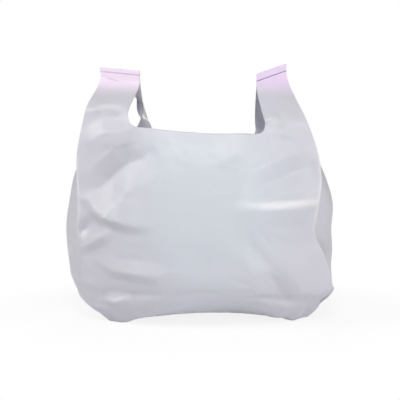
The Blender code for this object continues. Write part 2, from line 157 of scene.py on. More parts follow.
BACK_CREASES = (
    (((-0.90, 0.28), (-0.30, 0.50)), 0.19, 0.15, 0.8, 0.30),
    (((0.98, 0.72), (0.35, 0.88)), 0.15, 0.18, 0.8, 0.30),
    (((0.98, 0.42), (0.20, 0.32)), 0.18, 0.15, -0.8, 0.00),
    (((-0.45, 0.84), (-0.98, 0.60)), 0.16, 0.13, 0.7, 0.25),
    (((0.25, 0.58), (0.90, 0.63)), 0.09, 0.13, 0.6, 0.30),
    (((-0.62, 0.08), (-0.38, 0.32)), 0.18, 0.15, -0.7, 0.00),
)


def length(name, metres, description, digits=4):
    return bpy.props.FloatProperty(
        name=name, description=description, default=metres, unit="LENGTH", precision=digits
    )


def colour(name, code, description):
    return bpy.props.StringProperty(name=name, description=description, default=code)


def number(name, value, description):
    return bpy.props.FloatProperty(name=name, description=description, default=value)


class CarrierBagFilm(bpy.types.PropertyGroup):
    """Sizes of the flat film and of its puffed form."""

    face: length("Face width", 0.270, "Width of the flat front panel")
    gusset: length("Gusset width", 0.130, "Full width of one side gusset, opened out")
    strap: length("Strap width", 0.053, "Width of a handle on each face")
    fillet: length("Mouth fillet", 0.011, "Radius at each corner of the mouth")
    base_skirt: length("Base skirt", 0.005, "Film under the bottom seal")
    handle_skirt: length("Handle skirt", 0.009, "Film above a handle's seal")
    left_weld: length("Left weld", 0.0035, "How much higher the left handle's weld line sits")
    thickness: length("Film thickness", 0.00015, "Drawn thickness of the film", 6)
    layer_gap: length("Layer gap", 0.0004, "Space between two layers at a seal", 6)
    mouth_height: length("Mouth height", 0.203, "Height of the mouth's right side")
    left_rise: length("Left rise", 0.0125, "How far the left handle pulls its side up")
    back_drop: length("Back drop", 0.005, "How much lower the back's mouth hangs")
    handle_height: length("Handle height", 0.268, "Height of the handles' seals")
    depth: length("Body depth", 0.112, "Depth between the side folds")
    front_bulge: length("Front bulge", 0.036, "How far the front panel is blown out")
    back_bulge: length("Back bulge", 0.034, "How far the back panel is blown out")
    side_bulge: length("Side bulge", 0.024, "How far a gusset is blown out")
    seam_rise: length("Seam rise", 0.0130, "Height of the bottom seam over the feet")
    front_arch: length("Front arch", 0.0275, "Rise of the front heel between the feet")
    back_arch: length("Back arch", 0.003, "Rise of the back heel between the feet")
    foot_sink: length("Foot sink", 0.004, "How much of the underside is pressed flat")
    handle_reach: length("Handle reach", 0.046, "How long a strap keeps its direction")
    # Half the width of the painted highlight along a crease.
    pale_width: length("Whitened width", 0.0026, "Half the width of the whitened film along a crease")
    fold_depth: length("Fold depth", 0.0140, "Height of a full crease")
    fold_ridge: length("Fold ridge", 0.0020, "How far a side fold stands proud")
    fold_width: length("Fold ridge width", 0.010, "From a side fold to where its ridge ends")
    grain: length("Grain", 0.0038, "Size of one face of the front before it is divided")
    rear_grain: length("Rear grain", 0.0085, "Width of one face behind the front")
    wrap: length("Underside", 0.078, "Film from the bottom seam to the heel")
    handle_length: length("Handle length", 0.062, "Film from a handle's root to its seal")


class CarrierBagFinish(bpy.types.PropertyGroup):
    """Colours of the film and of the stage."""

    film: colour("Film", "#E6EAEF", "White film, a little blue where it is blown out")
    # A darker lilac towards the folds, the bottom and the handles: the film's tint together with painted
    # shade.
    haze: colour("Shaded", "#E4E3E9", "The film near its folds and its bottom")
    left_tint: colour("Left tint", "#FFF3FF", "Pink at the top of the left handle")
    right_tint: colour("Right tint", "#F9E9FF", "Lilac at the top of the right handle")
    left_seal: colour("Left seal", "#E3CDEB", "The line where the left handle is welded")
    right_seal: colour("Right seal", "#AD93C4", "The line where the right handle is welded")
    # Colour of the painted highlight along the creases and the folds.
    whitened: colour("Highlight", "#FFFFFF", "Film that is whitened by a crease")
    bead: colour("Bead", "#FFF4FF", "The rim that the weld squeezes out beside the line")
    floor: colour("Floor", "#FFFFFF", "Floor and background")
    bounce: colour("Bounce", "#F2F2F6", "What the floor sends back to the bag")
    see_through: number("See-through", 0.26, "Share of light that passes through the film")


class CarrierBagStage(bpy.types.PropertyGroup):
    """Camera and lamps."""

    camera_distance: length("Camera distance", 0.78, "From the middle of the bag")
    camera_height: length("Camera height", 0.200, "Level with the mouth")
    aim_height: length("Aim height", 0.1283, "Where the camera looks")
    lens: number("Lens", 61.6, "Focal length in millimetres")
    lamp_distance: length("Lamp distance", 1.2, "From the middle of the bag to each lamp")
    lamp_width: length("Lamp width", 0.5, "Width of each round lamp")
    front: number("Front lamp", 5.2, "Power of the lamp above the front, in watts")
    fill: number("Fill lamp", 0.8, "Power of the low lamp at the front left, in watts")
    left: number("Left lamp", 5.5, "Power of the lamp at the left, in watts")
    right: number("Right lamp", 2.4, "Power of the lamp at the right, in watts")
    low: number("Low lamp", 3.5, "Power of the low lamp at the front right, in watts")
    back: number("Back lamp", 6.0, "Power of the lamp that shines through the film, in watts")
    sky: number("Sky", 0.08, "Strength of the even light")


def mix(a, b, share):
    return a + (b - a) * share


def ease(share):
    """A smooth step from 0 to 1."""
    share = min(1.0, max(0.0, share))
    return share * share * (3 - 2 * share)


def linear(code):
    """An sRGB hex value as linear colour with full alpha."""
    channels = [int(code[i:i + 2], 16) / 255 for i in (1, 3, 5)]
    return [c / 12.92 if c <= 0.04045 else ((c + 0.055) / 1.055) ** 2.4 for c in channels] + [1.0]


def smooth_level(share):
    """The row of WALL_LEVELS at this share of the way up, on a smooth curve through them."""
    place = min(1.0, max(0.0, share)) * (len(WALL_LEVELS) - 1)
    low = min(int(place), len(WALL_LEVELS) - 2)
    part = place - low
    before = WALL_LEVELS[max(0, low - 1)]
    start, end = WALL_LEVELS[low], WALL_LEVELS[low + 1]
    after = WALL_LEVELS[min(len(WALL_LEVELS) - 1, low + 2)]
    return [
        b + 0.5 * part * (c - a + part * (2 * a - 5 * b + 4 * c - d + part * (3 * (b - c) + d - a)))
        for a, b, c, d in zip(before, start, end, after)
    ]


def fold_places(size):
    """The four folds of the flat tube, as distances round it."""
    return 0.0, size.face, size.face + size.gusset, 2 * size.face + size.gusset


class Line:
    """One line of film that runs up the bag, at a distance round the flat tube.

    The distance starts at the front panel's left fold and goes over the front, the right
    gusset, the back and the left gusset.
    """

    def __init__(self, size, around):
        gusset_start = size.face
        back_start = size.face + size.gusset
        left_start = back_start + size.face
        self.around = around
        if around <= gusset_start:
            self.panel, self.across = "front", -1 + 2 * around / size.face
        elif around < back_start:
            self.panel, self.across = "right", (around - gusset_start) / size.gusset
        elif around <= left_start:
            self.panel, self.across = "back", 1 - 2 * (around - back_start) / size.face
        else:
            self.panel, self.across = "left", 1 - (around - left_start) / size.gusset
        self.is_face = self.panel in ("front", "back")
        if self.is_face:
            self.side = -1 if self.across < 0 else 1
            self.depth_side = -1 if self.panel == "front" else 1
            self.from_fold = size.face / 2 * (1 - abs(self.across))
        else:
            self.side = -1 if self.panel == "left" else 1
            self.depth_side = -1 if self.across < 0.5 else 1
            self.from_fold = size.gusset * min(self.across, 1 - self.across)
        # How far the mouth's edge lies under the handles' roots, with its rounded corners.
        inside = min(max(0.0, self.from_fold - size.strap), size.fillet)
        self.cut = math.sqrt(size.fillet**2 - (size.fillet - inside) ** 2)


def turn_round(size, around):
    """A place round the flat tube as a direction, so that it can be averaged across the start."""
    angle = math.tau * around / (2 * (size.face + size.gusset))
    return Vector((math.cos(angle), math.sin(angle), 0))


class FilmForm:
    """Where each spot of the flat film goes in the puffed bag."""

    def __init__(self, size):
        self.size = size
        self.half_face = size.face / 2
        self.half_depth = size.depth / 2
        self.root_height = size.mouth_height + size.fillet
        self.mouth_half = self.half_face - size.strap
        self.heel = self.wall_values(0)
        self.top = self.wall_values(1)
        self.shifts = self.gathered_shifts()

    def wall_values(self, share):
        height, left, right, depth, bulge, left_bulge, right_bulge = smooth_level(share)
        return (
            height * self.root_height,
            -left * self.half_face,
            right * self.half_face,
            depth * self.half_depth,
            bulge,
            left_bulge * self.size.side_bulge,
            right_bulge * self.size.side_bulge,
        )

    def section(self, line, fold_left, fold_right, depth, bulge, left_bulge, right_bulge):
        """The place in plan of a line of film in a section with these folds and bulges."""
        if line.is_face:
            blown = self.size.front_bulge if line.panel == "front" else self.size.back_bulge
            x = mix(fold_left, fold_right, (line.across + 1) / 2)
            return x, line.depth_side * (depth + blown * bulge * (1 - abs(line.across) ** FACE_POWER))
        fold = fold_left if line.panel == "left" else fold_right
        out = left_bulge if line.panel == "left" else right_bulge
        off_middle = abs(2 * line.across - 1)
        sharp = 1 - off_middle
        out *= sharp if out < 0 else mix(1 - off_middle**2, sharp, GUSSET_SHARP)
        return fold + line.side * out, mix(-depth, depth, line.across)

    def floor_height(self, x, outward, depth_side):
        """Height of the underside, which rises at the seam, in the middle and past the feet."""
        across = x / self.half_face
        side = -1 if across < ARCH_PEAK else 1
        seam = self.size.seam_rise * (1 - outward) ** 2
        arch = self.size.front_arch if depth_side < 0 else self.size.back_arch
        arch *= outward**2 * max(0.0, 1 - ((across - ARCH_PEAK) / (FEET[side] - ARCH_PEAK)) ** 2)
        end, _, end_height = SEAM_ENDS[side]
        corner = end_height * self.root_height * max(0.0, (across - FEET[side]) / (end - FEET[side]))
        heel = 0.0
        if depth_side < 0:
            heel = HEEL_RISE * self.root_height * outward**6
            heel *= max(0.0, 1 - ((across - FEET[1]) / HEEL_SPREAD) ** 2)
        return max(0.0, seam + arch + corner + heel - self.size.foot_sink)

    def seam_shift(self, x):
        end, end_depth, _ = SEAM_ENDS[-1 if x < 0 else 1]
        return end_depth * self.half_depth * (x / self.half_face / end) ** 2

    def layer(self, line):
        """How far this layer lies from the middle of a flat seal."""
        gap = self.size.layer_gap
        if line.from_fold < 1e-7:
            return gap
        return 1.5 * gap if line.is_face else 0.5 * gap

    def floor_point(self, line, outward):
        """A point of the underside. outward runs from 0 at the seam to 1 at the heel."""
        _, left, right, depth, bulge, left_bulge, right_bulge = self.heel
        opened = ease(outward)
        half_gusset = self.size.gusset / 2
        x, y = self.section(
            line,
            mix(SEAM_ENDS[-1][0] * self.half_face, left, opened),
            mix(SEAM_ENDS[1][0] * self.half_face, right, opened),
            mix(0.0, depth, outward),
            bulge * outward,
            mix(-half_gusset, left_bulge, opened),
            mix(-half_gusset, right_bulge, opened),
        )
        y += (self.seam_shift(x) + line.depth_side * self.layer(line)) * (1 - outward)
        z = self.floor_height(x, outward, line.depth_side)
        if not line.is_face:
            sharp = 1 - abs(2 * line.across - 1)
            z += GUSSET_LIFT * half_gusset * math.sin(math.pi * outward) * sharp
        return Vector((x, y, z))

    def gathered_shifts(self):
        """How far the four lines of the drawn-in strap are moved at its root."""
        size = self.size
        back_fold = 2 * size.face + size.gusset
        lines = (
            Line(size, back_fold - size.strap),
            Line(size, back_fold),
            Line(size, back_fold + size.strap),
            Line(size, back_fold + size.gusset / 2),
        )
        shifts = []
        for (across, depth_share, rise), line in zip(GATHERED, lines):
            place = Vector(
                (across * self.half_face, depth_share * self.half_depth, rise * self.root_height)
            )
            shifts.append(place - Vector((*self.section(line, *self.top[1:]), 0)))
        return shifts

    def gather_shift(self, line):
        """How far the film is moved where the left strap of the back is drawn in."""
        if line.side > 0 or line.panel == "front":
            return Vector((0, 0, 0))
        size = self.size
        edge, fold, cut_edge, middle = self.shifts
        if line.is_face and line.from_fold >= size.strap:
            return edge * ease(-line.across * self.half_face / self.mouth_half)
        if line.is_face:
            return fold.lerp(edge, line.from_fold / size.strap)
        if line.depth_side < 0:
            return middle * line.from_fold / (size.gusset / 2)
        if line.from_fold <= size.strap:
            return fold.lerp(cut_edge, line.from_fold / size.strap)
        return cut_edge.lerp(middle, (line.from_fold - size.strap) / (size.gusset / 2 - size.strap))

    def mouth_shift(self, line, share):
        """The film on the left is pulled up to its handle, and the back hangs lower."""
        across = line.across if line.is_face else line.side
        pull = ease((ARCH_PEAK - across) * self.half_face / (2 * self.mouth_half))
        shift = self.size.left_rise * pull
        if line.depth_side > 0:
            shift -= self.size.back_drop
        return shift * share**2

    def wall_point(self, line, share):
        """A point of the wall. share runs from 0 at the heel to 1 at a handle's root."""
        top_slope = (1 - WALL_LEVELS[-2][0]) * (len(WALL_LEVELS) - 1)
        share -= line.cut / (top_slope * self.root_height) * share**6
        height, *section = self.wall_values(share)
        x, y = self.section(line, *section)
        heel_x, _ = self.section(line, *self.heel[1:])
        lift = self.floor_height(heel_x, 1, line.depth_side) - self.heel[0]
        z = height + lift * (1 - share) ** 4 + self.mouth_shift(line, share)
        drawn = ease((share - GATHER_START) / (1 - GATHER_START))
        return Vector((x, y, z)) + self.gather_shift(line) * drawn

    def seal_point(self, line):
        """The middle of a handle's seal where this line crosses it."""
        outer, inner = SEALS[line.side]
        share = line.from_fold / self.size.strap
        across, depth_share, rise = (mix(a, b, share) for a, b in zip(outer, inner))
        height = self.size.handle_height + rise * self.root_height
        return Vector((across * self.half_face, depth_share * self.half_depth, height))

    def handle_point(self, line, share):
        """A point of a handle. share runs from 0 at its root to 1 at its seal."""
        reach = self.size.handle_reach
        gathered = self.gather_shift(line)
        # A handle leaves its root the way that the wall just under it runs.
        root = self.wall_point(line, 1) - gathered
        below = self.wall_point(line, 0.96) - gathered
        seal = self.seal_point(line) + Vector((0, line.depth_side * self.layer(line), 0))
        rise = (root - below).normalized() * reach
        lean = Vector((0, 0, reach))
        s, s2, s3 = share, share**2, share**3
        return (
            root * (2 * s3 - 3 * s2 + 1)
            + rise * (s3 - 2 * s2 + s)
            + seal * (3 * s2 - 2 * s3)
            + lean * (s3 - s2)
            + gathered * mix(1 - s3, (1 - s) ** 2, line.from_fold / self.size.strap)
        )

    def skirt_reach(self, line, height):
        """Past a seal the outer layers meet, and the inner pair is a little shorter."""
        step = 0.0006
        if line.from_fold < 1e-7:
            return height - step
        return height if line.is_face else height - 2 * step

    def base_skirt_point(self, line, share):
        start = self.floor_point(line, 0)
        middle = Vector((start.x, self.seam_shift(start.x), start.z))
        tip = middle - Vector((0, 0, self.skirt_reach(line, self.size.base_skirt)))
        return start.lerp(tip, share)

    def handle_skirt_point(self, line, share):
        start = self.handle_point(line, 1)
        rise = self.skirt_reach(line, self.size.handle_skirt)
        return start.lerp(self.seal_point(line) + Vector((0, 0, rise)), share)


def add_patch(mesh, layers, size, lines, rows, place, height):
    """A grid of film. place gives a spot's point from its line and row, and height its film height."""
    film_uv, turn = layers
    made = bmesh.ops.create_grid(
        mesh, x_segments=len(lines) - 1, y_segments=len(rows) - 1, size=0.5
    )
    spots = {}
    for vert in made["verts"]:
        line = lines[round((vert.co.x + 0.5) * (len(lines) - 1))]
        row = rows[round((vert.co.y + 0.5) * (len(rows) - 1))]
        spots[vert] = (line.around, height(line, row))
        vert[turn] = turn_round(size, line.around)
        vert.co = place(line, row)
    for face in {face for vert in made["verts"] for face in vert.link_faces}:
        for loop in face.loops:
            loop[film_uv].uv = spots[loop.vert]


def spread(start, end, grain, ends_close=False):
    """Even places from start to end, or places that lie closer together near the ends."""
    steps = max(1, round(abs(end - start) / grain))
    shares = [i / steps for i in range(steps + 1)]
    if ends_close:
        shares = [mix(share, (1 - math.cos(math.pi * share)) / 2, 0.35) for share in shares]
    return [mix(start, end, share) for share in shares]


def film_mesh(size):
    """The whole film before its folds are settled, with its flat places as a UV map in metres."""
    form = FilmForm(size)
    mesh = bmesh.new()
    layers = (mesh.loops.layers.uv.new("film"), mesh.verts.layers.float_vector.new("turn"))
    sharpness = mesh.edges.layers.float.new("crease_edge")
    body_start = size.base_skirt
    wall_start = body_start + size.wrap
    wall_end = wall_start + form.root_height
    handle_end = wall_end + size.handle_length
    strips = []
    start = 0.0
    for panel_width in (size.face, size.gusset, size.face, size.gusset):
        end = start + panel_width
        strips.append((start, start + size.strap, True))
        strips.append((start + size.strap, end - size.strap, False))
        strips.append((end - size.strap, end, True))
        start = end
    floor_rows = spread(0, 1, size.rear_grain / 2 / size.wrap)
    wall_rows = spread(0, 1, size.grain / form.root_height)
    handle_rows = spread(0, 1, size.grain / size.handle_length)
    skirt_rows = spread(0, 1, 0.5)
    # Each patch's rows, place and film height, from the bottom up. The last two are a strap's.
    patches = (
        (skirt_rows, form.base_skirt_point, lambda line, row: body_start - row * size.base_skirt),
        (floor_rows, form.floor_point, lambda line, row: body_start + row * size.wrap),
        (wall_rows, form.wall_point, lambda line, row: mix(wall_start, wall_end - line.cut, row)),
        (handle_rows, form.handle_point, lambda line, row: wall_end + row * size.handle_length),
        (skirt_rows, form.handle_skirt_point, lambda line, row: handle_end + row * size.handle_skirt),
    )
    for low, high, is_strap in strips:
        grain = size.grain if high <= size.face else size.rear_grain
        lines = [Line(size, around) for around in spread(low, high, grain, not is_strap)]
        for rows, place, height in patches if is_strap else patches[:3]:
            add_patch(mesh, layers, size, lines, rows, place, height)
    bmesh.ops.remove_doubles(mesh, verts=mesh.verts, dist=0.00002)
    bmesh.ops.recalc_face_normals(mesh, faces=mesh.faces)
    folds = [turn_round(size, around) for around in fold_places(size)]
    for edge in mesh.edges:
        on_fold = all(min((v[layers[1]] - fold).length for fold in folds) < 1e-5 for v in edge.verts)
        if on_fold or len(edge.link_faces) < 2:
            edge[sharpness] = 1.0
    return mesh


def read_spots(data):
    spots = np.empty(len(data.vertices) * 3)
    data.vertices.foreach_get("co", spots)
    return spots.reshape(-1, 3)


def read_around(data, size):
    """How far round the flat tube each spot lies."""
    turns = np.empty(len(data.vertices) * 3)
    data.attributes["turn"].data.foreach_get("vector", turns)
    turns = turns.reshape(-1, 3)
    share = np.arctan2(turns[:, 1], turns[:, 0]) / math.tau % 1
    return share * 2 * (size.face + size.gusset)


def write_spots(data, spots):
    data.vertices.foreach_set("co", spots.ravel())
    data.update()


def apply_modifiers(bag):
    """Makes what the modifiers give the bag's own mesh, and removes them."""
    graph = bpy.context.evaluated_depsgraph_get()
    finished = bpy.data.meshes.new_from_object(bag.evaluated_get(graph))
    bag.modifiers.clear()
    bag.data = finished


def settle(bag, frames, growth, cap):
    """Lets the film find its own folds: it is given a little more film than its form needs.

    No spot ends up further than the cap from its place, and none below the floor.
    """
    start = read_spots(bag.data)
    cloth = bag.modifiers.new("film", "CLOTH")
    rules = cloth.settings
    rules.quality = 6
    rules.mass = 0.02
    rules.tension_stiffness = 40
    rules.compression_stiffness = 40
    rules.shear_stiffness = 20
    rules.bending_model = "ANGULAR"
    rules.bending_stiffness = 1.2
    rules.tension_damping = 8
    rules.compression_damping = 8
    rules.shear_damping = 8
    rules.bending_damping = 1
    rules.air_damping = 3
    rules.shrink_min = -growth
    rules.shrink_max = 0.0
    rules.vertex_group_shrink = "smooth"
    rules.vertex_group_mass = "held"
    rules.pin_stiffness = 0.35
    rules.effector_weights.gravity = 0
    cloth.point_cache.frame_start = 1
    cloth.point_cache.frame_end = frames
    scene = bpy.context.scene
    for frame_number in range(1, frames + 1):
        scene.frame_set(frame_number)
    apply_modifiers(bag)
    scene.frame_set(1)
    move = read_spots(bag.data) - start
    far = np.linalg.norm(move, axis=1, keepdims=True)
    settled = start + move * np.tanh(far / cap) * cap / np.maximum(far, 1e-9)
    settled[:, 2] = np.maximum(settled[:, 2], 0.0)
    write_spots(bag.data, settled)


def refine(bag):
    """Divides the film's faces once more. Its folds and seals stay sharp."""
    finer = bag.modifiers.new("finer", "SUBSURF")
    finer.levels = 1
    finer.render_levels = 1
    apply_modifiers(bag)


def crease_lift(creases, across, height, size, half_face, root_height):
    """How far the creases lift each spot, and how much painted highlight they lay on it.

    The spots are given as shares across the face and up it.
    """
    spots = np.column_stack((across * half_face, height * root_height))
    lift = np.zeros(len(spots))
    pale = np.zeros(len(spots))
    scale = np.array((half_face, root_height))
    for places, above, below, share, white in creases:
        points = np.array(places) * scale
        if points[0, 0] > points[-1, 0]:
            points = points[::-1]
        runs = np.diff(points, axis=0)
        lengths = np.linalg.norm(runs, axis=1)
        starts = np.concatenate(([0.0], np.cumsum(lengths)))
        nearest = np.full(len(spots), np.inf)
        off = np.zeros(len(spots))
        along = np.zeros(len(spots))
        for point, run, run_length, before in zip(points, runs, lengths, starts):
            away = spots - point
            part = np.clip(away @ run / run_length**2, 0, 1)
            gap = np.linalg.norm(away - part[:, None] * run, axis=1)
            side = run[0] * away[:, 1] - run[1] * away[:, 0]
            closer = gap < nearest
            nearest = np.where(closer, gap, nearest)
            off = np.where(closer, gap / np.where(side > 0, above, below) / half_face, off)
            along = np.where(closer, (before + part * run_length) / starts[-1], along)
        lift += share * np.sin(np.pi * along) * np.maximum(0, 1 - off)
        # The painted highlight is wider along a crease that is given more of it.
        crest = np.clip(1 + white - nearest / size.pale_width, 0, 1)
        pale = np.maximum(pale, white * np.sin(np.pi * along) * crest)
    return lift, pale


def add_creases(bag, size):
    """Presses the sharp creases of the photo's film into the two faces."""
    spots = read_spots(bag.data)
    half_face = size.face / 2
    root_height = size.mouth_height + size.fillet
    around = read_around(bag.data, size)
    front = (around > 0) & (around < size.face)
    back_start = size.face + size.gusset
    back = (around > back_start) & (around < back_start + size.face)
    pale = np.zeros(len(spots))
    for panel, creases, way in ((front, FRONT_CREASES, -1), (back, BACK_CREASES, 1)):
        panel &= spots[:, 2] > 0.004
        lift, whitened = crease_lift(
            creases,
            spots[panel, 0] / half_face,
            spots[panel, 2] / root_height,
            size,
            half_face,
            root_height,
        )
        spots[panel, 1] += way * size.fold_depth * lift
        pale[panel] = whitened
    write_spots(bag.data, spots)
    # The painted highlight of each spot, kept for the film's colour.
    marks = bag.data.attributes.new("whitened", "FLOAT", "POINT")
    marks.data.foreach_set("value", pale)


def fade(height, start, rise, end, fall):
    """Fades in over rise from the start, and out over fall up to the end."""
    return np.clip((height - start) / rise, 0, 1) * np.clip((end - height) / fall, 0, 1)


def raise_folds(bag, size):
    """Lifts the four fold lines, as film keeps the edges it was pressed to, and lays a painted highlight
    along them.
    """
    spots = read_spots(bag.data)
    around = read_around(bag.data, size)
    whole = 2 * (size.face + size.gusset)
    marks = bag.data.attributes["whitened"].data
    pale = np.empty(len(spots))
    marks.foreach_get("value", pale)
    height = spots[:, 2] / size.mouth_height
    proud = fade(height, *RIDGE_SPAN)
    white = fade(height, *HIGHLIGHT_SPAN)
    for start, way_x, way_y in zip(fold_places(size), (-1, 1, 1, -1), (-1, -1, 1, 1)):
        away = np.abs((around - start + whole / 2) % whole - whole / 2)
        near = np.maximum(0, 1 - away / size.fold_width) * proud
        spots[:, 0] += way_x * RIDGE_LEAN * size.fold_ridge * near
        spots[:, 1] += way_y * size.fold_ridge * near
        # A painted highlight along each fold line.
        line = np.maximum(0, 1 - away / size.pale_width) * white
        pale = np.maximum(pale, FOLD_HIGHLIGHT * line)
    write_spots(bag.data, spots)
    marks.foreach_set("value", pale)


def sharpen_folds(bag, size):
    """Marks the fold lines, so that the two sides of a fold are shaded apart."""
    data = bag.data
    data.shade_smooth()
    data.set_sharp_from_angle(angle=math.radians(50))
    whole = 2 * (size.face + size.gusset)
    off_folds = (read_around(data, size)[:, None] - np.array(fold_places(size)) + whole / 2) % whole
    on_fold = np.abs(off_folds - whole / 2).min(axis=1) < size.grain / 20
    ends = np.empty(len(data.edges) * 2, dtype=np.int32)
    data.edges.foreach_get("vertices", ends)
    sharp = np.empty(len(data.edges), dtype=bool)
    data.edges.foreach_get("use_edge_sharp", sharp)
    sharp |= on_fold[ends.reshape(-1, 2)].all(axis=1)
    data.edges.foreach_set("use_edge_sharp", sharp)


def hold_film(bag, size):
    """Weights for the settling: seals are held fast, and the rest is held loosely."""
    held = bag.vertex_groups.new(name="held")
    smooth = bag.vertex_groups.new(name="smooth")
    floor_touch = 0.0005
    seal_height = size.handle_height - 0.012
    change_length = 0.03
    taut_height, half_width, half_length = TAUT_PATCH
    for vert in bag.data.vertices:
        x, _, z = vert.co
        fixed = z > seal_height or z < floor_touch
        hold = mix(WALL_HOLD, HANDLE_HOLD, ease((z - size.mouth_height) / change_length))
        held.add([vert.index], 1.0 if fixed else hold, "REPLACE")
        taut = 1 - min(1.0, math.hypot(x / half_width, (z - taut_height) / half_length))
        smooth.add([vert.index], ease(taut * 2), "REPLACE")


def add_node(tree, kind, inputs=None, **settings):
    """Adds a shader node. inputs gives each named or numbered socket a value, an output or a node."""
    node = tree.nodes.new("ShaderNode" + kind)
    for key, value in settings.items():
        setattr(node, key, value)
    for key, value in (inputs or {}).items():
        if isinstance(value, bpy.types.Node):
            value = value.outputs[0]
        if isinstance(value, bpy.types.NodeSocket):
            tree.links.new(value, node.inputs[key])
        else:
            node.inputs[key].default_value = value
    return node


def mapped(tree, source, size, stretch=(1, 1, 1)):
    """Coordinates in which a pattern of this size in metres has its natural scale of one."""
    return add_node(
        tree, "Mapping", {"Vector": source, "Scale": [part / size for part in stretch]}
    ).outputs[0]


def band(tree, value, low, high):
    """A mask that is one between low and high and zero outside them."""
    above = add_node(tree, "Math", {0: value, 1: low}, operation="GREATER_THAN")
    below = add_node(tree, "Math", {0: value, 1: high}, operation="LESS_THAN")
    both = add_node(tree, "Math", {0: above, 1: below}, operation="MULTIPLY")
    return both.outputs[0]


